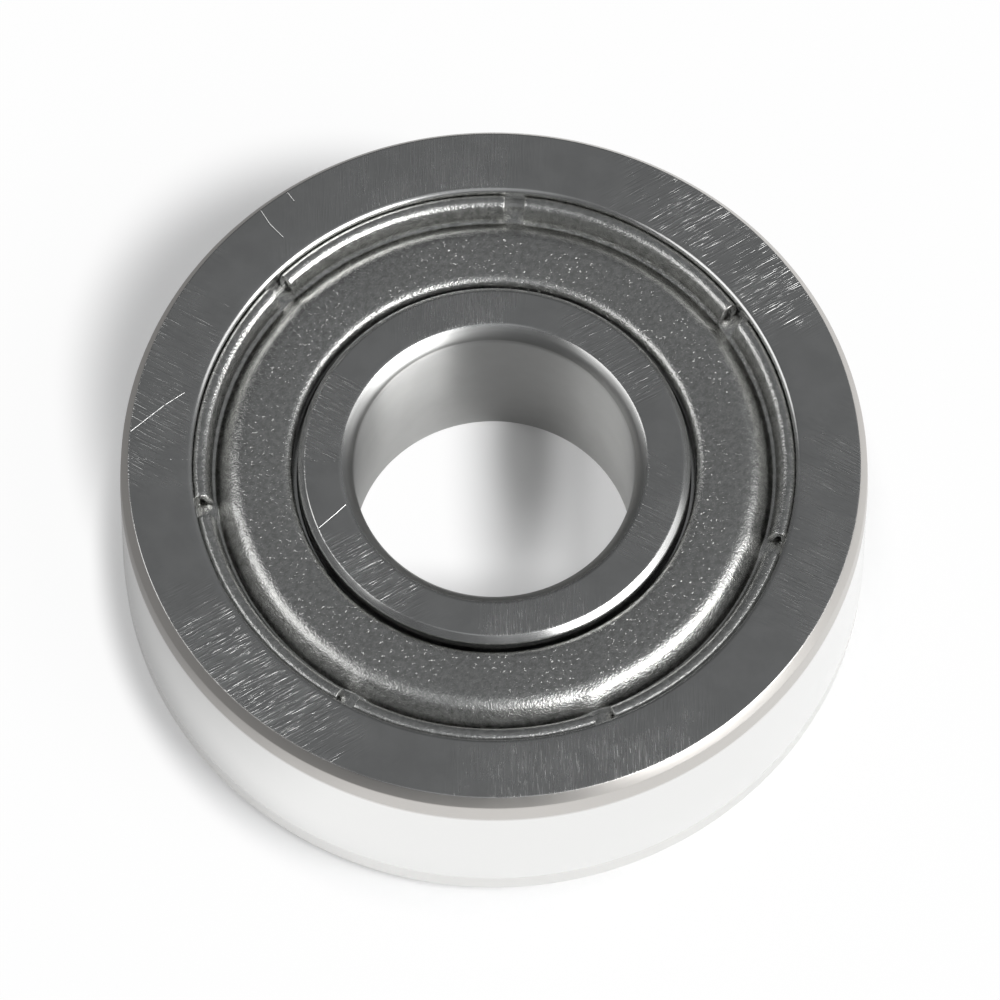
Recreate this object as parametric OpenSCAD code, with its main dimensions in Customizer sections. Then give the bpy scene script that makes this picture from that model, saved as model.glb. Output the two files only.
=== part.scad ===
// Deep-groove ball bearing with a pressed sheet shield on each side.
// The origin is the bearing's centre, +Z is the spin axis and the end faces lie at half the width.

/* [Bearing] */
// Bore diameter of the inner ring
bore_d = 9; // [8.4:0.1:9.6]
// Outside diameter of the outer ring
outer_d = 24; // [23:0.1:26]
// Width between the end faces
width = 7; // [6.6:0.1:9]

/* [Balls and grooves] */
// Number of balls
ball_count = 7; // [6:1:8]
// Ball diameter
ball_d = 3.969; // [3.6:0.001:4.2]
// Gap between a ball and each groove
contact_gap = 0.025; // [0.02:0.005:0.06]
// Groove radius of the inner ring, in ball diameters
inner_groove_ratio = 0.515; // [0.51:0.001:0.53]
// Groove radius of the outer ring, in ball diameters
outer_groove_ratio = 0.525; // [0.52:0.001:0.54]
// Groove depth below the inner ring's shoulder
inner_groove_depth = 0.74; // [0.6:0.01:0.85]
// Groove depth below the outer ring's shoulder
outer_groove_depth = 0.79; // [0.65:0.01:0.85]

/* [Outer ring edges] */
// Radial width of the outside corner
corner_w = 0.29; // [0.2:0.01:0.4]
// Axial height of the outside corner
corner_h = 0.46; // [0.3:0.01:0.6]
// Bow of the outside corner
corner_bow = 0.04; // [0.01:0.01:0.06]
// Radial rise of the lead-in band below the corner
lead_w = 0.03; // [0.01:0.01:0.06]
// Axial height of the lead-in band
lead_h = 0.74; // [0.4:0.01:1]
// Radial width of the bevel at the face's inner edge
bevel_w = 0.19; // [0.1:0.01:0.3]
// Depth of that bevel
bevel_h = 0.25; // [0.15:0.01:0.3]
// Height of the lip that holds the shield in
lip_h = 0.15; // [0.1:0.01:0.2]
// Height of the slope under the lip
undercut_h = 0.25; // [0.2:0.01:0.3]
// Radial depth of the recess behind the lip
lip_catch = 0.09; // [0.06:0.01:0.12]
// Radial width of the ledge that the shield rests on
ledge_w = 0.3; // [0.2:0.01:0.4]

/* [Inner ring edges] */
// Radial width of the bore corner
bore_corner_w = 0.52; // [0.3:0.01:0.6]
// Axial height of the bore corner
bore_corner_h = 0.6; // [0.3:0.01:0.8]
// Bow of the bore corner
bore_corner_bow = 0.12; // [0.04:0.01:0.14]
// Step from the shoulder down to the end land
land_step = 0.68; // [0.5:0.01:0.8]
// Axial length of the end land
land_h = 1.05; // [0.9:0.01:1.2]
// Chamfer of the end land
land_chamfer = 0.3; // [0.15:0.01:0.4]

/* [Shields] */
// Sheet thickness
sheet_t = 0.2; // [0.16:0.01:0.22]
// Depth of the ledge below the face
seat_depth = 1.05; // [0.95:0.01:1.1]
// Depth of the plate's top below the face
plate_drop = 0.27; // [0.2:0.01:0.35]
// Depth of the folded rim's top below the face
rim_drop = 0.2; // [0.15:0.01:0.25]
// Width of the folded rim
rim_w = 0.48; // [0.46:0.01:0.6]
// Gap between the rim's top and the lip
rim_gap = 0.06; // [0.05:0.01:0.08]
// How much wider the rim is at its foot than at its top
rim_flare = 0.14; // [0.1:0.01:0.15]
// Length of the rim's free end below the fold
rim_tail = 0.1; // [0.05:0.01:0.15]
// Radial width of the valley beside the rim
valley_w = 0.4; // [0.3:0.01:0.6]
// Radial width of the slope from the valley to the plate
slope_w = 0.5; // [0.4:0.01:0.7]
// Bend radius of the plate's edges
plate_bend_r = 0.28; // [0.2:0.01:0.32]
// Bend radius at the valley and the rim's foot
foot_bend_r = 0.16; // [0.13:0.01:0.2]
// Depth of the turned-down inner edge below the plate's top
turn_h = 0.53; // [0.45:0.01:0.6]
// Gap between the shield's hole and the inner ring
shield_gap = 0.2; // [0.1:0.01:0.3]
// Number of slots in the rim
slot_count = 7; // [5:1:9]
// Width of each slot
slot_w = 0.65; // [0.4:0.01:1]
// Angle of the first slot from +X
slot_angle = 35; // [0:1:51]

/* [Cage] */
// Sheet thickness of the cage
cage_t = 0.22; // [0.16:0.01:0.26]
// Radial width of the cage band
band_w = 1.24; // [1:0.01:1.4]
// Gap between a ball and its pocket
pocket_gap = 0.06; // [0.04:0.01:0.08]
// Rivet shank diameter
rivet_d = 0.6; // [0.45:0.01:0.7]
// Rivet head diameter
rivet_head_d = 1.1; // [0.9:0.01:1.2]
// Rivet head height
rivet_head_h = 0.25; // [0.15:0.01:0.35]
// Gap between a rivet shank and its hole
rivet_gap = 0.015; // [0.01:0.005:0.03]

/* [Hidden] */
$fn = 96;
// Straight steps that make one rounded corner or bend
ARC_STEPS = 6;

// Radii and heights that follow from the driving sizes
pitch_r = (bore_d + outer_d) / 4;
ball_r = ball_d / 2;
bore_r = bore_d / 2;
outer_r = outer_d / 2;
face_z = width / 2;
seat_z = face_z - seat_depth;

inner_groove_r = inner_groove_ratio * ball_d;
inner_groove_floor_r = pitch_r - ball_r - contact_gap;
inner_shoulder_r = inner_groove_floor_r + inner_groove_depth;
land_r = inner_shoulder_r - land_step;

outer_groove_r = outer_groove_ratio * ball_d;
outer_groove_floor_r = pitch_r + ball_r + contact_gap;
outer_shoulder_r = outer_groove_floor_r - outer_groove_depth;
recess_r = outer_shoulder_r + ledge_w;
lip_r = recess_r - lip_catch;
lip_top_z = face_z - bevel_h;

// Middle line of the shield's sheet
half_t = sheet_t / 2;
plate_z = face_z - plate_drop - half_t;
flange_z = seat_z + half_t;
rim_top_z = face_z - rim_drop - half_t;
rim_outer_r = lip_r - rim_gap;
rim_inner_r = rim_outer_r - rim_w;
fold_r = (rim_w - sheet_t) / 2;
slope_foot_r = rim_inner_r - valley_w;
hole_r = land_r + shield_gap;
slot_reach = recess_r - rim_inner_r + rim_w / 4;

pocket_r = ball_r + pocket_gap;
ball_step = 360 / ball_count;

BALLS = [1:ball_count];

RING_GREY = [0.56, 0.57, 0.58];
SHIELD_GREY = [0.66, 0.66, 0.65];
CAGE_GREY = [0.6, 0.58, 0.55];
BALL_GREY = [0.8, 0.81, 0.82];

function unit(v) = v / norm(v);
function left_of(v) = [-v[1], v[0]];
function backwards(points) = [for (i = [len(points) - 1:-1:0]) points[i]];
function flipped(points) = [for (p = points) [p[0], -p[1]]];

// Closed outline from its upper half, which runs clockwise from the inner wall to the outer wall
function mirrored_outline(upper) = concat(upper, backwards(flipped(upper)));

// Edge from p to q, bowed out to its left
function bowed(p, q, bow) = [
    for (i = [0:ARC_STEPS])
        let (t = i / ARC_STEPS)
        p + (q - p) * t + unit(left_of(q - p)) * bow * 4 * t * (1 - t)
];

// Arc of radius r that rounds the corner at b on the way from a to c
function bend(a, b, c, r) =
    let (
        u = unit(a - b),
        v = unit(c - b),
        half = acos(u * v) / 2,
        centre = b + unit(u + v) * r / sin(half),
        from = b + u * r / tan(half) - centre,
        to = b + v * r / tan(half) - centre,
        first = atan2(from[1], from[0]),
        sweep = (atan2(to[1], to[0]) - first + 540) % 360 - 180
    )
    [
        for (i = [0:ARC_STEPS])
            let (angle = first + sweep * i / ARC_STEPS)
            centre + r * [cos(angle), sin(angle)]
    ];

// Line through the corners, each rounded by its radius, with its two ends as they are
function bent_line(corners, radii) =
    let (last = len(corners) - 1)
    concat(
        [corners[0]],
        [for (i = [1:last - 1]) each bend(corners[i - 1], corners[i], corners[i + 1], radii[i])],
        [corners[last]]);

// Line moved sideways by d, to its left
function moved_line(line, d) = [
    for (i = [0:len(line) - 1])
        let (
            before = left_of(unit(line[max(i, 1)] - line[max(i, 1) - 1])),
            after = left_of(unit(line[min(i, len(line) - 2) + 1] - line[min(i, len(line) - 2)])),
            across = unit(before + after)
        )
        line[i] + across * d / (across * after)
];

// Closed outline of a sheet of thickness t along its middle line
function sheet_outline(line, t) = concat(moved_line(line, t / 2), backwards(moved_line(line, -t / 2)));

// Corners of the shield's middle line, from the turned-down inner edge to the rim's free end,
// each with its bend radius
shield_corners = [
    [[hole_r + half_t, face_z - plate_drop - turn_h], 0],
    [[hole_r + half_t, plate_z], plate_bend_r],
    [[slope_foot_r - slope_w, plate_z], plate_bend_r],
    [[slope_foot_r, flange_z], foot_bend_r],
    [[rim_outer_r - half_t + rim_flare, flange_z], foot_bend_r],
    [[rim_outer_r - half_t, rim_top_z], fold_r],
    [[rim_inner_r + half_t, rim_top_z], fold_r],
    [[rim_inner_r + half_t, rim_top_z - fold_r - rim_tail], 0]
];
shield_line = bent_line([for (c = shield_corners) c[0]], [for (c = shield_corners) c[1]]);

// Ring turned from an outline, with a round groove in its wall
module grooved_ring(upper, groove_centre_r, groove_r) {
    rotate_extrude()
        difference() {
            polygon(mirrored_outline(upper));
            translate([groove_centre_r, 0]) circle(r = groove_r);
        }
}

module outer_ring() {
    color(RING_GREY)
        grooved_ring(
            concat(
                [
                    [outer_shoulder_r, seat_z],
                    [recess_r, seat_z],
                    [recess_r, lip_top_z - lip_h - undercut_h],
                    [lip_r, lip_top_z - lip_h],
                    [lip_r, lip_top_z],
                    [lip_r + bevel_w, face_z]
                ],
                bowed([outer_r - corner_w, face_z], [outer_r - lead_w, face_z - corner_h], corner_bow),
                [[outer_r, face_z - corner_h - lead_h]]),
            outer_groove_floor_r - outer_groove_r,
            outer_groove_r);
}

module inner_ring() {
    color(RING_GREY)
        grooved_ring(
            concat(
                bowed([bore_r, face_z - bore_corner_h], [bore_r + bore_corner_w, face_z], bore_corner_bow),
                [
                    [land_r - land_chamfer, face_z],
                    [land_r, face_z - land_chamfer],
                    [land_r, face_z - land_h],
                    [inner_shoulder_r, face_z - land_h]
                ]),
            inner_groove_floor_r + inner_groove_r,
            inner_groove_r);
}

// Slot across the rim: it parts the fold and goes right through the rim's outer half
module rim_slot() {
    above_flange_z = flange_z + sheet_t;
    below_flange_z = seat_z - sheet_t;
    translate([rim_inner_r - rim_w / 4, -slot_w / 2, above_flange_z])
        cube([slot_reach, slot_w, face_z - above_flange_z]);
    translate([rim_inner_r + rim_w / 2, -slot_w / 2, below_flange_z])
        cube([slot_reach, slot_w, face_z - below_flange_z]);
}

module shield() {
    difference() {
        rotate_extrude() polygon(sheet_outline(shield_line, sheet_t));
        for (i = [0:slot_count - 1])
            rotate([0, 0, slot_angle + i * 360 / slot_count]) rim_slot();
    }
}

module upper_shield() {
    color(SHIELD_GREY) shield();
}

module lower_shield() {
    color(SHIELD_GREY) mirror([0, 0, 1]) shield();
}

// Moves a piece to its place on the pitch circle, counted in ball steps from +X
module on_pitch(steps) {
    rotate([0, 0, steps * ball_step]) translate([pitch_r, 0, 0]) children();
}

module ball(i) {
    color(BALL_GREY) on_pitch(i - 1) sphere(d = ball_d);
}

// Pressed half of the cage: flat lands at mid-width and a round pocket over each ball
module cage_half() {
    difference() {
        intersection() {
            rotate_extrude() translate([pitch_r - band_w / 2, 0]) square([band_w, face_z]);
            union() {
                cylinder(r = outer_r, h = cage_t);
                for (i = BALLS) on_pitch(i - 1) sphere(r = pocket_r + cage_t);
            }
        }
        for (i = BALLS) {
            on_pitch(i - 1) sphere(r = pocket_r);
            on_pitch(i - 0.5) translate([0, 0, -cage_t]) cylinder(r = rivet_d / 2 + rivet_gap, h = 3 * cage_t);
        }
    }
}

module cage_upper_half() {
    color(CAGE_GREY) cage_half();
}

module cage_lower_half() {
    color(CAGE_GREY) mirror([0, 0, 1]) cage_half();
}

// Rivet midway between two balls, with a domed head on each side
module cage_rivet(i) {
    head_r = rivet_head_d / 2;
    dome = [
        for (k = [0:ARC_STEPS])
            [head_r * cos(k * 90 / ARC_STEPS), cage_t + rivet_head_h * sin(k * 90 / ARC_STEPS)]
    ];
    upper = concat(backwards(dome), [[rivet_d / 2, cage_t]]);
    color(CAGE_GREY) on_pitch(i - 0.5) rotate_extrude() polygon(mirrored_outline(upper));
}

outer_ring();
inner_ring();
upper_shield();
lower_shield();
cage_upper_half();
cage_lower_half();
for (i = BALLS) ball(i);
for (i = BALLS) cage_rivet(i);
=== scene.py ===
"""Looks of a shielded deep-groove ball bearing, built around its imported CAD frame."""

import math

import bmesh
import bpy
from bpy.props import FloatProperty, FloatVectorProperty, IntProperty, PointerProperty
from bpy.types import Operator, Panel, PropertyGroup
from mathutils import Matrix, Quaternion, Vector


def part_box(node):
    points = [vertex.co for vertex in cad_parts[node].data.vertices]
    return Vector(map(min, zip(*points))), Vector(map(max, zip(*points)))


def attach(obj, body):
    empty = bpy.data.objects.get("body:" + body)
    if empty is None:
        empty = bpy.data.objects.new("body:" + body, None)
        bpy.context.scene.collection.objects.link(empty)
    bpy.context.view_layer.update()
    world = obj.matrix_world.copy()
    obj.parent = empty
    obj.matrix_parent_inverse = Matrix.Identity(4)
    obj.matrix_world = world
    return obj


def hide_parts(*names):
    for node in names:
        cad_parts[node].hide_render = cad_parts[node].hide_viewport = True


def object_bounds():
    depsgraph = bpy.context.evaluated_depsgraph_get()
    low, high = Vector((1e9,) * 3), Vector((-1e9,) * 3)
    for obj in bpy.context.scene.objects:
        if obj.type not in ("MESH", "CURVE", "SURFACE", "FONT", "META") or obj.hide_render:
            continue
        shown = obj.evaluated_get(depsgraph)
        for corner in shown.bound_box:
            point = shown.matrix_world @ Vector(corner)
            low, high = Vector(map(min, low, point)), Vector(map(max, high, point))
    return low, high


bl_info = {
    "name": "Shielded Ball Bearing",
    "version": (1, 0, 0),
    "blender": (4, 5, 0),
    "location": "View3D > Sidebar > Bearing",
    "description": "Builds the rings, shields, balls and cage of a ball bearing and its photo stage",
    "category": "Object",
}

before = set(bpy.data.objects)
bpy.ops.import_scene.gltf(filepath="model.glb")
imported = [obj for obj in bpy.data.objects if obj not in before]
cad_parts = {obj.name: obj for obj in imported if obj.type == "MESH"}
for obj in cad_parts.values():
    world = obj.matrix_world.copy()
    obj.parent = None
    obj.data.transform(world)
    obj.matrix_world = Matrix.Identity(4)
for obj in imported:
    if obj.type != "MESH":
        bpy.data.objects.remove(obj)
CAD_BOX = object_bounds()

# Meshes are shaped in millimetres, where the bevels are exact, and shrunk to metres at the end.
MM = 0.001
RING_STEPS = 360
SHIELD_STEPS_PER_SLOT = 52
SLOT_STEPS = 4
GROOVE_STEPS = 24
SOFT_STEPS = 6
CUT_STEPS = 2
# Points closer than this, in millimetres, become one: round the axis, and where an outline closes.
WELD = 1e-4
OUTLINE_WELD = 1e-3


def in_mm(node, corner, axis):
    """One coordinate of a CAD node's box, in millimetres."""
    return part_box(node)[corner][axis] / MM


OUTER_R = in_mm("outer_ring", 1, 0)
HALF_WIDTH = in_mm("outer_ring", 1, 2)
INNER_SHOULDER_R = in_mm("inner_ring", 1, 0)
BORE_R = 4.5
LEDGE_Z = 2.45
PITCH_R = (OUTER_R + BORE_R) / 2

# Spans in millimetres, from where a finish begins to where it is full: the heights of a ring's flat
# face, the heights over which the rings' corners go from painted lighter below to their full tone
# above, and the radii of the shields' flecked plate.
FACE_SPAN = (HALF_WIDTH - 0.025, HALF_WIDTH - 0.001)
CORNER_TONE_PAINTED_LIGHTER_SPAN = (-2.2, 2.2)
PLATE_SPAN = (8.3, 7.9)
# Height over which a corner's finish begins, in millimetres.
CORNER_RISE = 0.2
# Roughness of the ring faces.
FACE_DULL = 0.22
# Depth of the long scratches and of the lines round the walls, beside that of the ground lines.
SCRATCH_DEPTH = 1.5
ROUND_DEPTH = 0.08
# Depth of the bore's honing lines, in metres, and how far they stretch what it mirrors.
HONING_DEPTH = 1.0e-6
HONING_STRETCH = 0.95
# Waves per metre of the lines round the walls, sideways and upwards.
LINES_ROUND = 90.0
LINES_UP = 9000.0
# Lines ground across the ring faces, in one direction for each sector and the one opposite: lean in
# degrees, waves per metre across and along, and the lowest crest that shows.
FACE_LINES = (
    (0.0, 15000.0, 900.0, 0.50), (1.5, 18000.0, 1000.0, 0.50), (-1.5, 20000.0, 1100.0, 0.50),
    (3.0, 23000.0, 1300.0, 0.52), (-3.0, 17000.0, 950.0, 0.54), (0.5, 12000.0, 600.0, 0.60),
    (-1.0, 26000.0, 1500.0, 0.48),
)
EVEN_ACROSS = 15000.0
CREST = 0.2
# The sectors: their angle, the lines' direction in the first and the angle of its middle, how far
# their borders wander, where the lines fade towards a border, and what tells their noise apart.
SECTOR = math.radians(60.0)
FACE_TURN = math.radians(31.5)
FACE_MIDDLE = math.radians(46.0)
SECTOR_WANDER = 0.4
SECTOR_FADE = 0.2
SECTOR_SHIFT = 7.3

# Noises: waves per metre, detail and roughness.
RING_CLOUDS = (900.0, 4.0, 0.6)
RING_PATCHES = (380.0, 3.0, 0.5)
SECTOR_BORDERS = (700.0, 1.0, 0.5)
SHIELD_GRAIN = (13000.0, 3.0, 0.6)
SHIELD_CLOUDS = (700.0, 4.0, 0.6)
SHIELD_MOTTLE = (5200.0, 3.0, 0.7)
SHIELD_FLECKS = (8200.0, 2.0, 0.5)
INSIDE_CLOUDS = (800.0, 4.0, 0.6)

WHITE = (1.0, 1.0, 1.0, 1.0)


def length_value(name, description, mm, top=0.1):
    """A length in metres that the sidebar shows with its unit."""
    return FloatProperty(name=name, description=description, default=mm * MM, min=0.0, max=top,
                         precision=5, subtype="DISTANCE", unit="LENGTH")


def colour_value(name, description, rgb):
    """A colour swatch."""
    return FloatVectorProperty(name=name, description=description, default=rgb, size=3, min=0.0,
                               max=1.0, subtype="COLOR")


def share_value(name, description, share, top=1.0):
    """A plain number such as a share or a strength."""
    return FloatProperty(name=name, description=description, default=share, min=0.0, max=top,
                         subtype="FACTOR")


class BearingSizes(PropertyGroup):
    """Lengths of the visible pieces."""

    edge_round: length_value("Edge round", "Tiny round on the edges of the ring faces", 0.04)
    sheet: length_value("Shield sheet", "Thickness of the pressed shields", 0.2)
    cut_round: length_value("Cut edge round", "Round on the cut edges of the shields", 0.018)
    crease: length_value("Crease height", "Height of the crease pressed inside each rim slot", 0.12)
    slots: IntProperty(name="Rim slots", description="Slots cut through each shield's folded rim",
                       default=7, min=3, max=24)
    first_slot: FloatProperty(name="First slot", description="Angle of the first rim slot from +X",
                              default=math.radians(35.0), subtype="ANGLE", unit="ROTATION")


class BearingFinish(PropertyGroup):
    """Colours and wear of the steels."""

    ring_colour: colour_value("Ring steel", "Ground hardened steel of both rings", (0.70, 0.70, 0.69))
    wall_colour: colour_value("Wall steel", "Brighter steel of the outside wall", (0.86, 0.86, 0.85))
    bore_colour: colour_value("Bore steel", "Honed steel of the bore", (0.60, 0.60, 0.59))
    corner_colour: colour_value("Corner steel", "Turned steel of the rounded ring corners",
                                (0.60, 0.58, 0.555))
    shield_colour: colour_value("Shield steel", "Satin pressed steel of the shields",
                                (0.77, 0.77, 0.75))
    ball_colour: colour_value("Ball steel", "Polished steel of the balls", (0.80, 0.80, 0.79))
    cage_colour: colour_value("Cage steel", "Soft pressed steel of the cage", (0.58, 0.57, 0.54))
    rivet_colour: colour_value("Rivet steel", "Upset steel of the rivets", (0.52, 0.51, 0.49))
    scratch_depth: FloatProperty(name="Scratch depth", description="Depth of the grinding lines",
                                 default=1.05e-5, min=0.0, max=0.001, precision=6, unit="LENGTH")
    grain_depth: FloatProperty(name="Grain depth", description="Depth of the shields' pressed grain",
                               default=2.2e-5, min=0.0, max=0.001, precision=6, unit="LENGTH")


class BearingStage(PropertyGroup):
    """Floor, lamps and camera."""

    floor_colour: colour_value("Floor", "Plain pale floor", (0.93, 0.93, 0.93))
    floor_glow: share_value("Floor glow", "Share of plain white that the floor shows to the lens", 0.24)
    key: share_value("Key light", "Brightness of the soft box at front right that the metal shows",
                     4.8, 20.0)
    high: share_value("High light", "Brightness of the soft box above it that lights the floor", 10.5, 20.0)
    side: share_value("Side light", "Brightness of the weak edge of the key light", 1.0, 20.0)
    fill: share_value("Fill light", "Brightness of the small soft box at front left", 1.4, 20.0)
    top: share_value("Floor light", "Brightness of the wide lamp over the floor", 0.2, 20.0)
    walls: share_value("Studio walls", "Brightness of the dim studio around the object", 0.155)
    elevation: FloatProperty(name="Camera height", description="Angle of the lens above the floor",
                             default=math.radians(65.13), subtype="ANGLE", unit="ROTATION")
    roll: FloatProperty(name="Camera roll", description="Turn of the camera about its own axis",
                        default=math.radians(0.555), subtype="ANGLE", unit="ROTATION")
    distance: length_value("Camera distance", "From the middle of the bearing to the lens", 485.6, 5.0)
    lens: FloatProperty(name="Focal length", description="Focal length on a 36 mm sensor",
                        default=542.4, min=10.0, max=2000.0)


class NodeBench:
    """Adds shader nodes to one node tree and joins them."""

    def __init__(self, tree):
        self.tree = tree
        tree.nodes.clear()

    def add(self, kind, inputs=None, **settings):
        """A node with its settings; inputs are values or the sockets that feed them."""
        node = self.tree.nodes.new(kind)
        for key, value in settings.items():
            setattr(node, key, value)
        for key, value in (inputs or {}).items():
            self.feed(node.inputs[key], value)
        return node

    def feed(self, socket, value):
        """Sets a socket, or links another socket to it."""
        if isinstance(value, bpy.types.NodeSocket):
            self.tree.links.new(value, socket)
        elif value is not None:
            socket.default_value = value

    def math(self, operation, first, second=None, third=None, clamp=False):
        """A Math node's result."""
        node = self.add("ShaderNodeMath", operation=operation, use_clamp=clamp)
        for socket, value in zip(node.inputs, (first, second, third)):
            self.feed(socket, value)
        return node.outputs[0]

    def vector(self, operation, first, second=None, scale=None):
        """A Vector Math node's vector."""
        node = self.add("ShaderNodeVectorMath", operation=operation)
        self.feed(node.inputs[0], first)
        self.feed(node.inputs[1], second)
        if scale is not None:
            self.feed(node.inputs["Scale"], scale)
        return node.outputs["Vector"]

    def measure(self, operation, first, second=None):
        """A Vector Math node's number, such as a length or a dot product."""
        node = self.add("ShaderNodeVectorMath", {0: first, 1: second}, operation=operation)
        return node.outputs["Value"]

    def flat_length(self, place):
        """A place's distance from the Z axis."""
        return self.measure("LENGTH", self.vector("MULTIPLY", place, (1.0, 1.0, 0.0)))

    def about(self, noise, swing, middle, clamp=False):
        """A number that swings with a noise about its middle."""
        return self.math("MULTIPLY_ADD", self.math("SUBTRACT", noise, 0.5), swing, middle, clamp=clamp)

    def shaded(self, value, colour, darkest, low=0.3, high=0.7):
        """A colour that is darker where a value is low, down to a share of itself."""
        dark = [c * darkest for c in colour]
        return self.mix_colour(self.ramp(value, low, high), rgba(dark), rgba(colour))

    def distance(self, whole, middle, squeeze=(1.0, 1.0, 1.0)):
        """Distance from a middle given in millimetres, each axis times its share of the squeeze."""
        away = self.vector("SUBTRACT", whole, Vector(middle) * MM)
        return self.measure("LENGTH", self.vector("MULTIPLY", away, squeeze))

    def step(self, length, span, at_low=0.0, at_high=1.0):
        """A smooth step of a length over a span given in millimetres."""
        return self.ramp(length, span[0] * MM, span[1] * MM, at_low, at_high)

    def ramp(self, value, low, high, at_low=0.0, at_high=1.0):
        """A smooth step of a value between two levels."""
        node = self.add("ShaderNodeMapRange", interpolation_type="SMOOTHSTEP")
        for key, given in zip(("Value", "From Min", "From Max", "To Min", "To Max"),
                              (value, low, high, at_low, at_high)):
            self.feed(node.inputs[key], given)
        return node.outputs["Result"]

    def noise(self, place, scale, detail=2.0, roughness=0.5):
        """Cloudy noise from 0 to 1."""
        node = self.add("ShaderNodeTexNoise", {"Vector": place, "Scale": scale, "Detail": detail,
                                               "Roughness": roughness})
        return node.outputs["Fac"]

    def mix_colour(self, share, first, second):
        """A colour between two."""
        node = self.add("ShaderNodeMix", data_type="RGBA")
        self.feed(node.inputs[0], share)
        self.feed(node.inputs[6], first)
        self.feed(node.inputs[7], second)
        return node.outputs[2]

    def place(self):
        """Object coordinates: the whole vector and its x, y and z."""
        whole = self.add("ShaderNodeTexCoord").outputs["Object"]
        parts = self.add("ShaderNodeSeparateXYZ", {"Vector": whole}).outputs
        return whole, parts["X"], parts["Y"], parts["Z"]

    def joined(self, x, y, z):
        """A vector from three numbers."""
        return self.add("ShaderNodeCombineXYZ", {"X": x, "Y": y, "Z": z}).outputs["Vector"]

    def round_lines(self, whole):
        """Fine lines round the Z axis, from 0 to 1."""
        place = self.vector("MULTIPLY", whole, (LINES_ROUND, LINES_ROUND, LINES_UP))
        return self.noise(place, 1.0, 3.0, 0.6)


def rgba(colour):
    """A swatch colour with full cover."""
    return (colour[0], colour[1], colour[2], 1.0)


def new_material(name):
    """An empty node material."""
    material = bpy.data.materials.new(name)
    material.use_nodes = True
    return material, NodeBench(material.node_tree)


def steel_output(bench, colour, rough, height, depth):
    """Closes a steel material: metal shader, its bump and the output."""
    bump = bench.add("ShaderNodeBump", {"Strength": 1.0, "Distance": depth, "Height": height})
    shader = bench.add("ShaderNodeBsdfPrincipled",
                       {"Base Color": colour, "Metallic": 1.0, "Roughness": rough,
                        "Normal": bump.outputs["Normal"]})
    bench.add("ShaderNodeOutputMaterial", {"Surface": shader.outputs["BSDF"]})
    return shader


def face_place(bench, x, y, sector, lean, across, along):
    """Flat coordinates for straight lines on a ring face, one direction in each sector of it.

    The lines lean by an angle from their sector's direction; across and along are waves per metre.
    """
    turn = bench.math("MULTIPLY_ADD", sector, SECTOR, FACE_TURN + math.radians(lean))
    run, rise = bench.math("COSINE", turn), bench.math("SINE", turn)
    length = bench.math("ADD", bench.math("MULTIPLY", x, run), bench.math("MULTIPLY", y, rise))
    sideways = bench.math("SUBTRACT", bench.math("MULTIPLY", y, run), bench.math("MULTIPLY", x, rise))
    return bench.joined(bench.math("MULTIPLY", sideways, across), bench.math("MULTIPLY", length, along),
                        bench.math("MULTIPLY", sector, SECTOR_SHIFT))


def stroke_layer(bench, spot, kept, deepest):
    """Short lines: the crests of stretched noise above the level kept, some deep and some faint."""
    return bench.ramp(bench.noise(spot, 1.0, 0.0), kept, kept + CREST, 0.0, deepest)


def scratch(bench, whole, start, end, half_width):
    """One long scratch between two plan points, all in millimetres."""
    origin = Vector((start[0], start[1], 0.0)) * MM
    run = Vector((end[0] - start[0], end[1] - start[1], 0.0)) * MM
    flat = bench.vector("MULTIPLY", whole, (1.0, 1.0, 0.0))
    offset = bench.vector("SUBTRACT", flat, origin)
    along = bench.measure("DOT_PRODUCT", offset, run / run.length_squared)
    along = bench.math("MULTIPLY", along, 1.0, clamp=True)
    foot = bench.vector("SCALE", tuple(run), scale=along)
    return bench.ramp(bench.measure("DISTANCE", offset, foot), half_width * MM, 0.0, 0.0, SCRATCH_DEPTH)


def face_strokes(bench, whole, x, y, z, scratches):
    """Depth of the ground lines and long scratches on the end faces."""
    wander = bench.about(bench.noise(whole, *SECTOR_BORDERS), SECTOR_WANDER, -FACE_MIDDLE)
    turns = bench.math("DIVIDE", bench.math("ADD", bench.math("ARCTAN2", y, x), wander), SECTOR)
    sector = bench.math("ROUND", turns)
    border = bench.math("ABSOLUTE", bench.math("SUBTRACT", turns, sector))
    strokes = 0.0
    for lean, across, along, kept in FACE_LINES:
        spot = face_place(bench, x, y, sector, lean, across, along)
        line = stroke_layer(bench, spot, kept, EVEN_ACROSS / across)
        strokes = bench.math("MAXIMUM", strokes, line)
    patchy = bench.ramp(bench.noise(whole, *RING_PATCHES), 0.34, 0.6, 0.65, 1.0)
    patchy = bench.math("MULTIPLY", patchy, bench.ramp(border, 0.5, SECTOR_FADE))
    strokes = bench.math("MULTIPLY", strokes, patchy)
    upper = bench.math("GREATER_THAN", z, 0.0)
    for start, end, half_width in scratches:
        line = bench.math("MULTIPLY", scratch(bench, whole, start, end, half_width), upper)
        strokes = bench.math("MAXIMUM", strokes, line)
    return strokes


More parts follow.
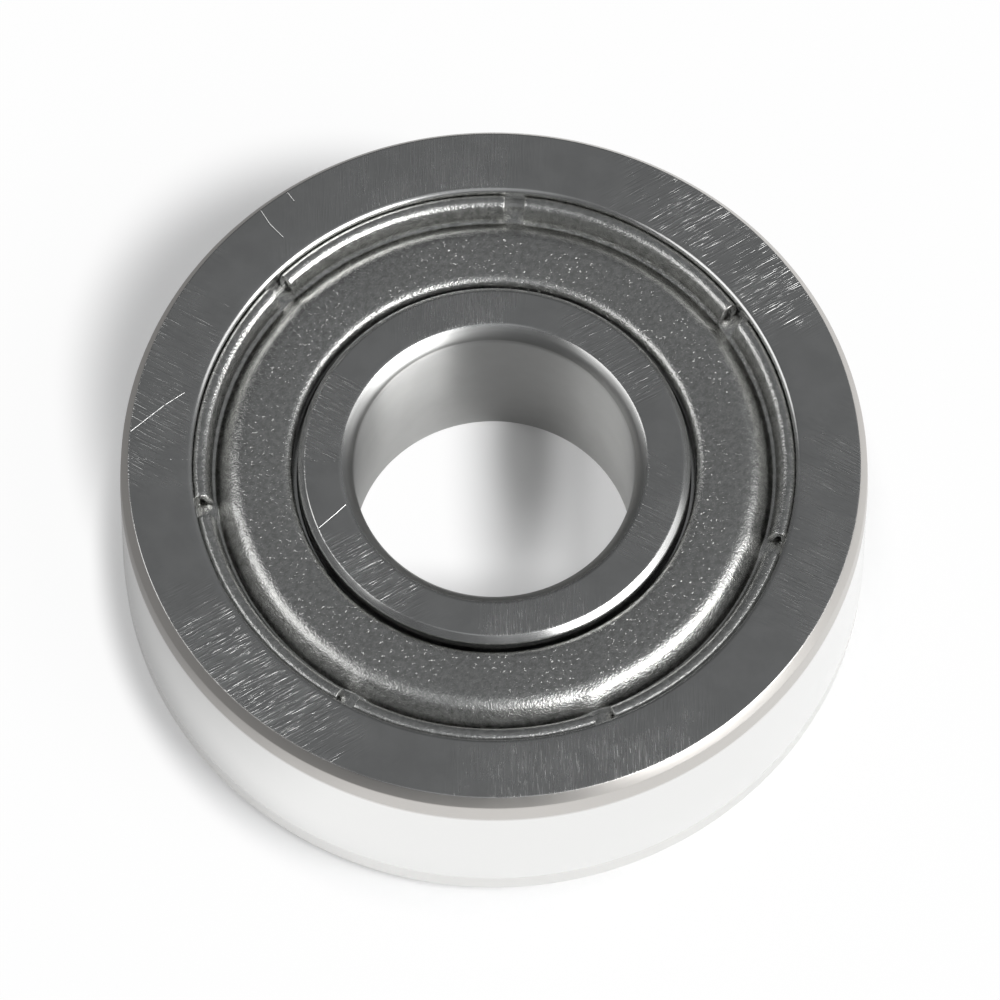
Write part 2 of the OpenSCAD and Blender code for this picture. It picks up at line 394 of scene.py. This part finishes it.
def ring_steel(name, finish, depth, corner, wall, scratches):
    """Ground steel: fine lines across the end faces, round lines on the walls, turned corners, those on the
    lower side painted lighter.

    depth is that of the lines, corner gives the span of radii over which the corner's finish
    begins, its lowest level, colour and roughness, wall the same for the wall but for the level,
    and scratches are long ones on the upper face.
    """
    corner_span, corner_level, corner_colour, corner_dull = corner
    wall_span, wall_colour, wall_dull = wall
    material, bench = new_material(name)
    whole, x, y, z = bench.place()
    radius = bench.flat_length(whole)
    level = bench.math("ABSOLUTE", z)
    turned = bench.math("MULTIPLY", bench.step(radius, corner_span),
                        bench.step(level, (corner_level, corner_level + CORNER_RISE)))
    face = bench.math("MULTIPLY", bench.step(level, FACE_SPAN), bench.math("SUBTRACT", 1.0, turned))
    walled = bench.step(radius, wall_span)

    strokes = bench.math("MULTIPLY", face_strokes(bench, whole, x, y, z, scratches), face)
    rounds = bench.math("MULTIPLY", bench.round_lines(whole), bench.math("SUBTRACT", 1.0, face))
    height = bench.math("MULTIPLY_ADD", rounds, ROUND_DEPTH, bench.math("MULTIPLY", strokes, -1.0))

    cloud = bench.noise(whole, *RING_CLOUDS)
    dull = bench.math("MULTIPLY_ADD", walled, wall_dull - FACE_DULL, FACE_DULL)
    dull = bench.math("MULTIPLY_ADD", turned, bench.math("SUBTRACT", corner_dull, dull), dull)
    rough = bench.math("MULTIPLY_ADD", strokes, 0.08, bench.about(cloud, 0.12, dull), clamp=True)
    colour = bench.mix_colour(walled, bench.shaded(cloud, finish.ring_colour, 0.92), rgba(wall_colour))
    # Painted light: the corners of the lower side take less of the corner colour than those above,
    # so they stay lighter against the shade near the floor.
    corner_tone_painted_lighter_below = bench.math("MULTIPLY", turned, bench.step(z, CORNER_TONE_PAINTED_LIGHTER_SPAN, 0.25, 1.0))
    colour = bench.mix_colour(corner_tone_painted_lighter_below, colour, rgba(corner_colour))
    steel_output(bench, colour, rough, height, depth)
    return material


def shield_steel(finish):
    """Satin pressed sheet with a fine sandy grain and scattered bright flecks."""
    material, bench = new_material("shield_satin")
    whole = bench.place()[0]
    grain = bench.noise(whole, *SHIELD_GRAIN)
    cloud = bench.noise(whole, *SHIELD_CLOUDS)
    mottle = bench.noise(whole, *SHIELD_MOTTLE)
    flecks = bench.ramp(bench.noise(whole, *SHIELD_FLECKS), 0.625, 0.735)
    flecks = bench.math("MULTIPLY", flecks, bench.ramp(cloud, 0.4, 0.6, 0.2, 1.0))
    # The flecks are on the flat plate, and few are past the start of its slope.
    plate = bench.step(bench.flat_length(whole), PLATE_SPAN, 0.15, 1.0)
    flecks = bench.math("MULTIPLY", flecks, plate)
    height = bench.math("MULTIPLY_ADD", flecks, -1.3, grain)
    rough = bench.about(cloud, 0.12, bench.about(mottle, 0.2, 0.2), clamp=True)
    colour = bench.shaded(mottle, finish.shield_colour, 0.82, 0.32, 0.68)
    steel_output(bench, colour, rough, height, finish.grain_depth)
    return material


def bore_steel(finish):
    """Honed bore: fine lines round the axis smear what it mirrors up and down."""
    material, bench = new_material("bore_honed")
    whole = bench.place()[0]
    cloud = bench.noise(whole, *RING_CLOUDS)
    rough = bench.about(cloud, 0.08, 0.48, clamp=True)
    shade = bench.shaded(cloud, finish.bore_colour, 0.95)
    shader = steel_output(bench, shade, rough, bench.round_lines(whole), HONING_DEPTH)
    axis = bench.add("ShaderNodeTangent", direction_type="RADIAL", axis="Z")
    shader.inputs["Anisotropic"].default_value = HONING_STRETCH
    shader.inputs["Anisotropic Rotation"].default_value = 0.25
    bench.feed(shader.inputs["Tangent"], axis.outputs["Tangent"])
    return material


def inside_steel(name, colour, polish, grain, depth):
    """Steel of the pieces inside: a base polish with clouds and a fine grain."""
    material, bench = new_material(name)
    whole = bench.place()[0]
    cloud = bench.noise(whole, *INSIDE_CLOUDS)
    rough = bench.about(cloud, 0.1, polish, clamp=True)
    shade = bench.shaded(cloud, colour, 0.9)
    steel_output(bench, shade, rough, bench.noise(whole, grain, 3.0, 0.6), depth)
    return material


def wire(bm, corners):
    """Joins corners (radius, height, softness) in the XZ plane and softens each one."""
    verts = [bm.verts.new((r, 0.0, z)) for r, z, soft in corners]
    for start, end in zip(verts, verts[1:]):
        bm.edges.new((start, end))
    for vert, (r, z, soft) in list(zip(verts, corners))[1:-1]:
        if soft > 0.0:
            bmesh.ops.bevel(bm, geom=[vert], offset=soft, offset_type="OFFSET", affect="VERTICES",
                            segments=SOFT_STEPS, profile=0.5, material=-1)
    return verts[0]


def spin_round(bm, steps, start=0.0):
    """Turns an outline once round the bearing's axis."""
    bmesh.ops.rotate(bm, verts=bm.verts, cent=(0, 0, 0), matrix=Matrix.Rotation(start, 3, "Z"))
    bmesh.ops.spin(bm, geom=bm.verts[:] + bm.edges[:], cent=(0, 0, 0), axis=(0, 0, 1),
                   dvec=(0, 0, 0), angle=2 * math.pi, steps=steps, use_merge=True)
    bmesh.ops.remove_doubles(bm, verts=bm.verts, dist=WELD)
    bmesh.ops.recalc_face_normals(bm, faces=bm.faces)


def finished_piece(bm, name, body, node, material):
    """Makes the object: smooth shading, flat faces kept flat, and its place on the frame."""
    bm.transform(Matrix.Scale(MM, 4))
    mesh = bpy.data.meshes.new(name)
    bm.to_mesh(mesh)
    bm.free()
    mesh.shade_smooth()
    piece = bpy.data.objects.new(name, mesh)
    bpy.context.scene.collection.objects.link(piece)
    mesh.materials.append(material)
    even = piece.modifiers.new("Even shading", "WEIGHTED_NORMAL")
    even.mode = "FACE_AREA"
    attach(piece, body)
    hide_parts(node)
    return piece


def ring_mesh(upper, groove_r):
    """A closed ring from its upper outline: mirrored below, with a round ball groove."""
    bm = bmesh.new()
    lower = [(r, -z, soft) for r, z, soft in reversed(upper)]
    first = wire(bm, upper + lower)
    rise = math.atan2(upper[0][1], upper[0][0] - groove_r)
    swing = 2 * rise if upper[0][0] > groove_r else 2 * (rise - math.pi)
    bmesh.ops.spin(bm, geom=[first], cent=(groove_r, 0, 0), axis=(0, 1, 0), dvec=(0, 0, 0),
                   angle=swing, steps=GROOVE_STEPS)
    bmesh.ops.remove_doubles(bm, verts=bm.verts, dist=OUTLINE_WELD)
    spin_round(bm, RING_STEPS)
    return bm


class BearingOuterRing(Operator):
    """Outer ring with its ball groove, shield seats and rounded corners"""

    bl_idname = "bearing.outer_ring"
    bl_label = "Outer Ring"

    # Radii in millimetres: the middle of the groove's arc, the shoulder, the shield's recess and
    # its lip, the inner and outer edges of the flat face, and the foot of the turned corner.
    GROOVE_R = PITCH_R - 0.0742
    SHOULDER_R = OUTER_R - 2.5305
    RECESS_R = SHOULDER_R + 0.3
    LIP_R = RECESS_R - 0.09
    FACE_R = (RECESS_R + 0.1805, OUTER_R - 0.27)
    CORNER_R = OUTER_R - 0.035
    # Heights in millimetres: the groove's edge, the top of the recess, the lip from its foot to its
    # top, the foot of the turned corner and the top of the wall; and the lip's lead-in.
    GROOVE_EDGE_Z = 1.6334
    RECESS_TOP_Z = 2.85
    LIP_Z = (3.10, 3.40)
    CORNER_Z = 3.12
    WALL_Z = 2.30
    LEAD_IN = (LIP_R + 0.1105, 3.485)

    def execute(self, context):
        edge = context.scene.bearing_sizes.edge_round / MM
        face_in, face_out = self.FACE_R
        # Radius, height and softness of each corner, from the groove over the face to the wall.
        outline = [
            (self.SHOULDER_R, self.GROOVE_EDGE_Z, 0.0), (self.SHOULDER_R, LEDGE_Z, 0.04),
            (self.RECESS_R, LEDGE_Z, 0.02), (self.RECESS_R, self.RECESS_TOP_Z, 0.03),
            (self.LIP_R, self.LIP_Z[0], 0.03), (self.LIP_R, self.LIP_Z[1], 0.05), (*self.LEAD_IN, 0.05),
            (face_in, HALF_WIDTH, 0.1), (face_out, HALF_WIDTH, edge),
            (self.CORNER_R, self.CORNER_Z, 0.04), (OUTER_R, self.WALL_Z, 0.25),
        ]
        # Start, end and half width of each long scratch.
        scratches = (
            ((-11.68, 0.94), (-10.58, 1.91), 0.028), ((-10.58, 1.91), (-9.95, 2.36), 0.02),
            ((-7.60, 8.87), (-7.31, 8.40), 0.03), ((-7.31, 8.40), (-6.88, 7.94), 0.03),
            ((-6.74, 9.52), (-6.54, 9.24), 0.03), ((5.20, 10.20), (5.28, 10.27), 0.07),
            ((1.69, -11.64), (1.73, -11.69), 0.06),
        )
        finish = context.scene.bearing_finish
        corner = ((11.71, 11.76), 2.2, finish.corner_colour, 0.36)
        wall = ((11.9, 11.96), finish.wall_colour, 0.14)
        material = ring_steel("outer_ring_ground", finish, finish.scratch_depth, corner, wall,
                              scratches)
        finished_piece(ring_mesh(outline, self.GROOVE_R), "outer_ring_ground", "outer_race",
                       "outer_ring", material)
        return {"FINISHED"}


class BearingInnerRing(Operator):
    """Inner ring with its bore, rounded bore corners and shoulders"""

    bl_idname = "bearing.inner_ring"
    bl_label = "Inner Ring"

    # Radii in millimetres: the middle of the groove's arc, the land beside the shield, the inner
    # and outer edges of the flat face, the middle of the bore's corner, and the end of the honing.
    GROOVE_R = PITCH_R + 0.0345
    LAND_R = INNER_SHOULDER_R - 0.68
    FACE_R = (BORE_R + 0.45, LAND_R - 0.22)
    CORNER_R = BORE_R + 0.16
    HONED_R = BORE_R + 0.06
    # Heights in millimetres: the groove's edge, the top of the land, the middle of the bore's corner
    # and the end of the bore's wall.
    GROOVE_EDGE_Z = 1.574
    LAND_TOP_Z = 3.28
    CORNER_Z = 3.27
    BORE_END_Z = 3.0
    # Depth of this ring's lines beside those of the outer ring.
    LINE_SHARE = 0.92

    def execute(self, context):
        edge = context.scene.bearing_sizes.edge_round / MM
        face_in, face_out = self.FACE_R
        # Radius, height and softness of each corner, from the groove over the face to the bore.
        outline = [
            (INNER_SHOULDER_R, self.GROOVE_EDGE_Z, 0.0), (INNER_SHOULDER_R, LEDGE_Z, 0.05),
            (self.LAND_R, LEDGE_Z, 0.04), (self.LAND_R, self.LAND_TOP_Z, 0.05),
            (face_out, HALF_WIDTH, edge), (face_in, HALF_WIDTH, 0.06),
            (self.CORNER_R, self.CORNER_Z, 0.15), (BORE_R, self.BORE_END_Z, 0.08),
        ]
        # Start, end and half width of each long scratch.
        scratches = (((-5.64, -2.45), (-5.04, -1.88), 0.03), ((-5.04, -1.88), (-4.73, -1.56), 0.025))
        finish = context.scene.bearing_finish
        corner = ((face_in, 4.78), 2.9, [c * 0.7 for c in finish.bore_colour], 0.34)
        wall = ((4.62, 4.54), finish.bore_colour, 0.26)
        material = ring_steel("inner_ring_ground", finish, finish.scratch_depth * self.LINE_SHARE,
                              corner, wall, scratches)
        piece = finished_piece(ring_mesh(outline, self.GROOVE_R), "inner_ring_ground", "inner_race",
                               "inner_ring", material)
        piece.data.materials.append(bore_steel(finish))
        for polygon in piece.data.polygons:
            if polygon.center.xy.length < self.HONED_R * MM:
                polygon.material_index = 1
        return {"FINISHED"}


def bend_soft(before, corner, after, bend):
    """How far from a corner a bend of this radius starts."""
    into = Vector(corner) - Vector(before)
    out = Vector(after) - Vector(corner)
    return bend * math.tan(into.angle(out) / 2)


class BearingShields(Operator):
    """Both pressed shields: dished plate, valley, folded rim and its slots"""

    bl_idname = "bearing.shields"
    bl_label = "Shields"

    # Middle line of the sheet from the inner edge to the folded rim: radius, height, bend radius.
    LINE = [
        (6.56, 2.70, 0.0), (6.56, 3.19, 0.26), (8.31, 3.19, 0.55), (8.90, 2.40, 0.15),
        (9.38, 2.55, 0.3), (9.6595, 2.55, 0.16), (9.56, 3.225, 0.12), (9.33, 3.225, 0.155),
        (9.125, 2.70, 0.0),
    ]
    # A slot takes the sheet away past the fold's inside and past the end of the rim's floor.
    FOLD_R = 9.0195
    FOLD_Z = 2.75
    THROUGH_R = 9.57
    # A crease runs between two radii, with a run-in and a run-out, below the fold, and spreads sideways.
    CREASE_FROM = 8.25
    CREASE_TO = 9.5
    CREASE_RUN_IN = 0.3
    CREASE_RUN_OUT = 0.4
    CREASE_SPREAD = 0.36
    BELOW_FOLD_R = 8.95
    BELOW_FOLD_Z = 2.66
    # Edges that bend more than this, in radians, are cut edges.
    CUT_ANGLE = 1.0

    def execute(self, context):
        sizes = context.scene.bearing_sizes
        material = shield_steel(context.scene.bearing_finish)
        for node, side in (("upper_shield", 1.0), ("lower_shield", -1.0)):
            bm = self.sheet(sizes)
            if side < 0:
                bmesh.ops.scale(bm, vec=(1.0, 1.0, -1.0), verts=bm.verts)
                bmesh.ops.reverse_faces(bm, faces=bm.faces)
            finished_piece(bm, node + "_satin", "outer_race", node, material)
        return {"FINISHED"}

    def sheet(self, sizes):
        """One shield lying upper side up."""
        line = [p[:2] for p in self.LINE]
        corners = []
        for i, (r, z, bend) in enumerate(self.LINE):
            soft = bend_soft(line[i - 1], line[i], line[i + 1], bend) if bend else 0.0
            corners.append((r, z, soft))
        bm = bmesh.new()
        wire(bm, corners)
        pitch = 2 * math.pi / sizes.slots
        step = pitch / SHIELD_STEPS_PER_SLOT
        spin_round(bm, sizes.slots * SHIELD_STEPS_PER_SLOT, sizes.first_slot - step * SLOT_STEPS / 2)
        plate = max(bm.faces, key=lambda f: f.calc_area())
        if plate.normal.z < 0:
            bmesh.ops.reverse_faces(bm, faces=bm.faces)
        bm.normal_update()

        def off_slot(point):
            """Angle from the nearest slot's middle."""
            turn = math.atan2(point.y, point.x) - sizes.first_slot
            return abs((turn + pitch / 2) % pitch - pitch / 2)

        half = sizes.sheet / MM / 2
        crease = sizes.crease / MM
        for vert in bm.verts:
            vert.co -= vert.normal * half * vert.calc_shell_factor()
        for vert in bm.verts:
            r = vert.co.xy.length
            below = r < self.BELOW_FOLD_R or vert.co.z < self.BELOW_FOLD_Z
            if below and self.CREASE_FROM < r < self.CREASE_TO:
                near = math.exp(-(off_slot(vert.co) * r / self.CREASE_SPREAD) ** 2)
                run_in = (r - self.CREASE_FROM) / self.CREASE_RUN_IN
                run_out = (self.CREASE_TO - r) / self.CREASE_RUN_OUT
                vert.co.z += crease * near * min(1.0, run_in, run_out)
        cut = []
        for face in bm.faces:
            middle = face.calc_center_median()
            r = middle.xy.length
            folded = r > self.FOLD_R and middle.z > self.FOLD_Z
            if off_slot(middle) < step * SLOT_STEPS / 2 and (folded or r > self.THROUGH_R):
                cut.append(face)
        bmesh.ops.delete(bm, geom=cut, context="FACES")
        bmesh.ops.solidify(bm, geom=bm.faces[:], thickness=-sizes.sheet / MM)
        bmesh.ops.recalc_face_normals(bm, faces=bm.faces)
        sharp = [e for e in bm.edges
                 if len(e.link_faces) == 2 and e.calc_face_angle(0.0) > self.CUT_ANGLE]
        bmesh.ops.bevel(bm, geom=sharp, offset=sizes.cut_round / MM, offset_type="OFFSET",
                        affect="EDGES", segments=CUT_STEPS, profile=0.5, material=-1)
        return bm


class BearingBalls(Operator):
    """The seven balls, kept from the frame and given polished steel"""

    bl_idname = "bearing.balls"
    bl_label = "Balls"

    def execute(self, context):
        finish = context.scene.bearing_finish
        material = inside_steel("ball_polish", finish.ball_colour, polish=0.08, grain=30000.0,
                                depth=2.0e-7)
        dress_nodes("ball_", material)
        return {"FINISHED"}


class BearingCage(Operator):
    """Both cage halves and their rivets, kept from the frame and given pressed steel"""

    bl_idname = "bearing.cage"
    bl_label = "Cage"

    def execute(self, context):
        finish = context.scene.bearing_finish
        pressed = inside_steel("cage_pressed", finish.cage_colour, polish=0.34, grain=12000.0,
                               depth=6.0e-6)
        upset = inside_steel("rivet_upset", finish.rivet_colour, polish=0.38, grain=16000.0,
                             depth=4.0e-6)
        dress_nodes("cage_upper_half", pressed)
        dress_nodes("cage_lower_half", pressed)
        dress_nodes("cage_rivet_", upset)
        return {"FINISHED"}


def dress_nodes(start, material):
    """Gives a material to every CAD node whose name starts so."""
    found = [node for name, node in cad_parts.items() if name.startswith(start)]
    if not found:
        raise RuntimeError("the frame has no node whose name starts with " + start)
    for node in found:
        node.data.materials.clear()
        node.data.materials.append(material)


def soft_box(name, azimuth, elevation, width, height, brightness, shown=True, floor=True, distance=0.4):
    """An area lamp that faces the bearing from a compass angle and a height, in degrees."""
    turn, lift = math.radians(azimuth), math.radians(elevation)
    away = Vector((math.cos(turn) * math.cos(lift), math.sin(turn) * math.cos(lift), math.sin(lift)))
    lamp = bpy.data.lights.new(name, "AREA")
    lamp.shape = "RECTANGLE"
    lamp.size = width
    lamp.size_y = height
    lamp.energy = brightness * math.pi * width * height
    holder = bpy.data.objects.new(name, lamp)
    holder.location = away * distance
    holder.rotation_mode = "QUATERNION"
    holder.rotation_quaternion = away.to_track_quat("Z", "Y")
    holder.visible_glossy = shown
    holder.visible_diffuse = floor
    bpy.context.scene.collection.objects.link(holder)


def lens_share(bench, share):
    """The share of plain white for what the lens sees directly, in metal or through glass."""
    rays = bench.add("ShaderNodeLightPath").outputs
    seen = bench.math("MAXIMUM", rays["Is Camera Ray"], rays["Is Glossy Ray"])
    seen = bench.math("MAXIMUM", seen, rays["Is Transmission Ray"])
    return bench.math("MULTIPLY", seen, share)


class BearingStageSetup(Operator):
    """Pale floor, soft boxes, dim studio and the camera"""

    bl_idname = "bearing.stage"
    bl_label = "Stage"

    FLOOR_HALF = 0.6
    # Places and spans on the floor are in millimetres. Shade beside the bearing: an oval with its two
    # axes, its shift along the first, and the spans over which the floor clears to its fullest white.
    LEE_ALONG = (-0.527, 0.628, 0.0)
    LEE_ACROSS = (0.881, 0.739, 0.0)
    LEE_SHIFT = 1.64
    LEE_SPAN = (10.3, 12.9)
    EDGE_SPAN = (12.1, 13.2)
    FULLEST_WHITE = 0.95
    # Floor in the bore: its spot of painted shade, and the spans over which the painted shade deepens to
    # the right and in front.
    PAINTED_SHADE_SPOT = (1.0, 3.6, 0.0)
    SPOT_SQUEEZE = (1.0, 0.35, 0.0)
    SPOT_SPAN = (0.3, 2.9)
    RIGHT_SPAN = (1.5, 3.0)
    FRONT_SPAN = (-1.7, 0.0)
    # The floor in the bore gives way to the floor outside under the rings.
    RINGS_SPAN = (4.5, 6.0)
    # Where metal sees a painted dim reflection on the floor: outside a circle round a middle beside the
    # bearing, and a patch in its bore.
    DIM_REFLECTION_MIDDLE = (30.0, -6.0, 0.0)
    DIM_REFLECTION_SPAN = (37.0, 46.5)
    PATCH = (0.8, 2.0, 0.0)
    PATCH_SQUEEZE = (1.0, 0.45, 0.0)
    PATCH_SPAN = (1.6, 0.7)
    # The brightest part of the studio and its tint.
    GLOW_TOWARDS = (0.22, -0.55, 0.81)
    WALL_TINT = (0.96, 0.98, 1.0, 1.0)
    # The camera's sensor, and its aim to the right of the middle and above it, in millimetres.
    SENSOR = 36.0
    AIM_RIGHT = 0.198
    AIM_UP = 0.265

    def execute(self, context):
        stage = context.scene.bearing_stage
        self.floor(stage)
        self.lamps(stage)
        self.studio(context.scene, stage)
        self.camera(context.scene, stage)
        context.scene.view_settings.view_transform = "Standard"
        return {"FINISHED"}

    def floor(self, stage):
        """A wide pale floor under the lower ring faces."""
        bm = bmesh.new()
        bmesh.ops.create_grid(bm, x_segments=8, y_segments=8, size=self.FLOOR_HALF)
        bmesh.ops.translate(bm, verts=bm.verts, vec=(0.0, 0.0, CAD_BOX[0].z))
        mesh = bpy.data.meshes.new("floor")
        bm.to_mesh(mesh)
        bm.free()
        mesh.materials.append(self.floor_paint(stage))
        floor = bpy.data.objects.new("floor", mesh)
        bpy.context.scene.collection.objects.link(floor)

    def floor_paint(self, stage):
        """Pale paint with painted shade in the bore, shown whiter to the lens; metal sees a painted dim
        reflection.
        """
        material, bench = new_material("floor_pale")
        whole, x, y = bench.place()[:3]
        radius = bench.flat_length(whole)
        spot = bench.distance(whole, self.PAINTED_SHADE_SPOT, self.SPOT_SQUEEZE)
        # Painted shade: the paint is darker round the spot in the bore.
        colour = bench.shaded(spot, stage.floor_colour, 0.8, 0.2 * MM, 1.4 * MM)
        paint = bench.add("ShaderNodeBsdfDiffuse", {"Color": colour})
        white = bench.add("ShaderNodeEmission", {"Color": WHITE, "Strength": 1.0})
        share = bench.add("ShaderNodeMix", {0: bench.step(radius, self.RINGS_SPAN),
                                            2: self.white_inside(bench, x, y, spot),
                                            3: self.white_outside(bench, whole, radius, stage)})
        both = bench.add("ShaderNodeMixShader", {0: lens_share(bench, share.outputs[0]),
                                                 1: paint.outputs[0], 2: white.outputs[0]})
        # Painted dim reflection: far from the bearing the metal sees dim studio instead of floor, and the
        # back of the bore's wall sees a dim patch; the glow is dimmer in the bore than outside.
        strength = bench.step(radius, self.RINGS_SPAN, stage.walls * 0.5, stage.walls * 2.0)
        dim = bench.add("ShaderNodeEmission", {"Color": WHITE, "Strength": strength})
        far_dim_reflection = bench.step(bench.distance(whole, self.DIM_REFLECTION_MIDDLE), self.DIM_REFLECTION_SPAN)
        patch = bench.distance(whole, self.PATCH, self.PATCH_SQUEEZE)
        painted_dim_reflection = bench.math("MAXIMUM", far_dim_reflection, bench.step(patch, self.PATCH_SPAN, 0.0, 0.95))
        mirrored = bench.add("ShaderNodeLightPath").outputs["Is Glossy Ray"]
        seen = bench.add("ShaderNodeMixShader", {0: bench.math("MULTIPLY", painted_dim_reflection, mirrored),
                                                 1: both.outputs[0], 2: dim.outputs[0]})
        bench.add("ShaderNodeOutputMaterial", {"Surface": seen.outputs[0]})
        return material

    def white_outside(self, bench, whole, radius, stage):
        """Share of white round the bearing: it grows away from it, and last on the side of its shade."""
        leeward = bench.measure("DOT_PRODUCT", whole, self.LEE_ALONG)
        leeward = bench.math("SUBTRACT", leeward, self.LEE_SHIFT * MM)
        sideways = bench.measure("DOT_PRODUCT", whole, self.LEE_ACROSS)
        lee = bench.measure("LENGTH", bench.joined(leeward, sideways, 0.0))
        clear = bench.math("MULTIPLY", bench.step(lee, self.LEE_SPAN), bench.step(radius, self.EDGE_SPAN))
        return bench.math("MULTIPLY_ADD", clear, self.FULLEST_WHITE - stage.floor_glow, stage.floor_glow)

    def white_inside(self, bench, x, y, spot):
        """Share of white in the bore: it grows away from the spot of painted shade, less so right and in
        front.
        """
        inside = bench.step(spot, self.SPOT_SPAN, 0.02, 0.97)
        inside = bench.math("MULTIPLY", inside, bench.step(x, self.RIGHT_SPAN, 1.0, 0.42))
        return bench.math("MULTIPLY", inside, bench.step(y, self.FRONT_SPAN, 0.5, 1.0))

    def lamps(self, stage):
        """Soft boxes at front right, a small one at front left and the floor light."""
        soft_box("key_box", 322.0, 22.5, 0.31, 0.32, stage.key, floor=False)
        soft_box("side_box", 357.0, 24.0, 0.20, 0.28, stage.side, floor=False)
        soft_box("high_box", 328.0, 47.0, 0.20, 0.18, stage.high, shown=False)
        soft_box("fill_box", 190.0, 38.0, 0.36, 0.2, stage.fill)
        soft_box("floor_lamp", 270.0, 88.0, 0.9, 0.9, stage.top, shown=False, distance=0.6)

    def studio(self, scene, stage):
        """Dim walls all round, brighter at the right and in front above."""
        world = bpy.data.worlds.new("studio")
        scene.world = world
        world.use_nodes = True
        bench = NodeBench(world.node_tree)
        side = bench.add("ShaderNodeTexCoord").outputs["Generated"]
        parts = bench.add("ShaderNodeSeparateXYZ", {"Vector": side}).outputs
        lit = bench.ramp(parts["X"], -1.0, 1.0, 0.8, 1.4)
        facing = bench.measure("DOT_PRODUCT", side, self.GLOW_TOWARDS)
        lit = bench.math("ADD", lit, bench.ramp(facing, 0.82, 1.0, 0.0, 1.8))
        lit = bench.math("MULTIPLY", lit, bench.ramp(parts["Y"], 0.55, 0.9, 1.0, 0.6))
        strength = bench.math("MULTIPLY", lit, stage.walls)
        walls = bench.add("ShaderNodeBackground", {"Color": self.WALL_TINT, "Strength": strength})
        bench.add("ShaderNodeOutputWorld", {"Surface": walls.outputs[0]})

    def camera(self, scene, stage):
        """A long lens high in front of the bearing."""
        lens = bpy.data.cameras.new("camera")
        lens.lens = stage.lens
        lens.sensor_width = self.SENSOR
        lens.clip_start = 0.01
        lens.clip_end = 10.0
        holder = bpy.data.objects.new("camera", lens)
        scene.collection.objects.link(holder)
        lift = stage.elevation
        back = Vector((0.0, -math.cos(lift), math.sin(lift)))
        up = Vector((0.0, math.sin(lift), math.cos(lift)))
        aim = Vector((self.AIM_RIGHT * MM, 0.0, 0.0)) + up * self.AIM_UP * MM
        holder.location = back * stage.distance
        looking = aim - holder.location
        holder.rotation_mode = "QUATERNION"
        holder.rotation_quaternion = (looking.to_track_quat("-Z", "Y")
                                      @ Quaternion((0.0, 0.0, 1.0), stage.roll))
        scene.camera = holder


class BearingPanel(Panel):
    """Lists the bearing's settings and the steps that build it"""

    bl_idname = "VIEW3D_PT_bearing"
    bl_label = "Bearing"
    bl_space_type = "VIEW_3D"
    bl_region_type = "UI"
    bl_category = "Bearing"

    def draw(self, context):
        layout = self.layout
        for group in ("bearing_sizes", "bearing_finish", "bearing_stage"):
            settings = getattr(context.scene, group)
            box = layout.box()
            for key in settings.__annotations__:
                box.prop(settings, key)
        for step in STEPS:
            layout.operator(step.bl_idname)


GROUPS = {"bearing_sizes": BearingSizes, "bearing_finish": BearingFinish, "bearing_stage": BearingStage}
STEPS = (BearingStageSetup, BearingOuterRing, BearingInnerRing, BearingShields, BearingBalls, BearingCage)


def register():
    """Adds the settings, the steps and the panel to Blender."""
    for group in GROUPS.values():
        bpy.utils.register_class(group)
    for step in STEPS:
        bpy.utils.register_class(step)
    bpy.utils.register_class(BearingPanel)
    for name, group in GROUPS.items():
        setattr(bpy.types.Scene, name, PointerProperty(type=group))


def unregister():
    """Takes them out again."""
    for name in GROUPS:
        delattr(bpy.types.Scene, name)
    bpy.utils.unregister_class(BearingPanel)
    for item in (*STEPS, *GROUPS.values()):
        bpy.utils.unregister_class(item)


def main():
    """Builds the stage and every piece."""
    register()
    bpy.ops.bearing.stage()
    bpy.ops.bearing.outer_ring()
    bpy.ops.bearing.inner_ring()
    bpy.ops.bearing.shields()
    bpy.ops.bearing.balls()
    bpy.ops.bearing.cage()


if __name__ == "__main__":
    main()
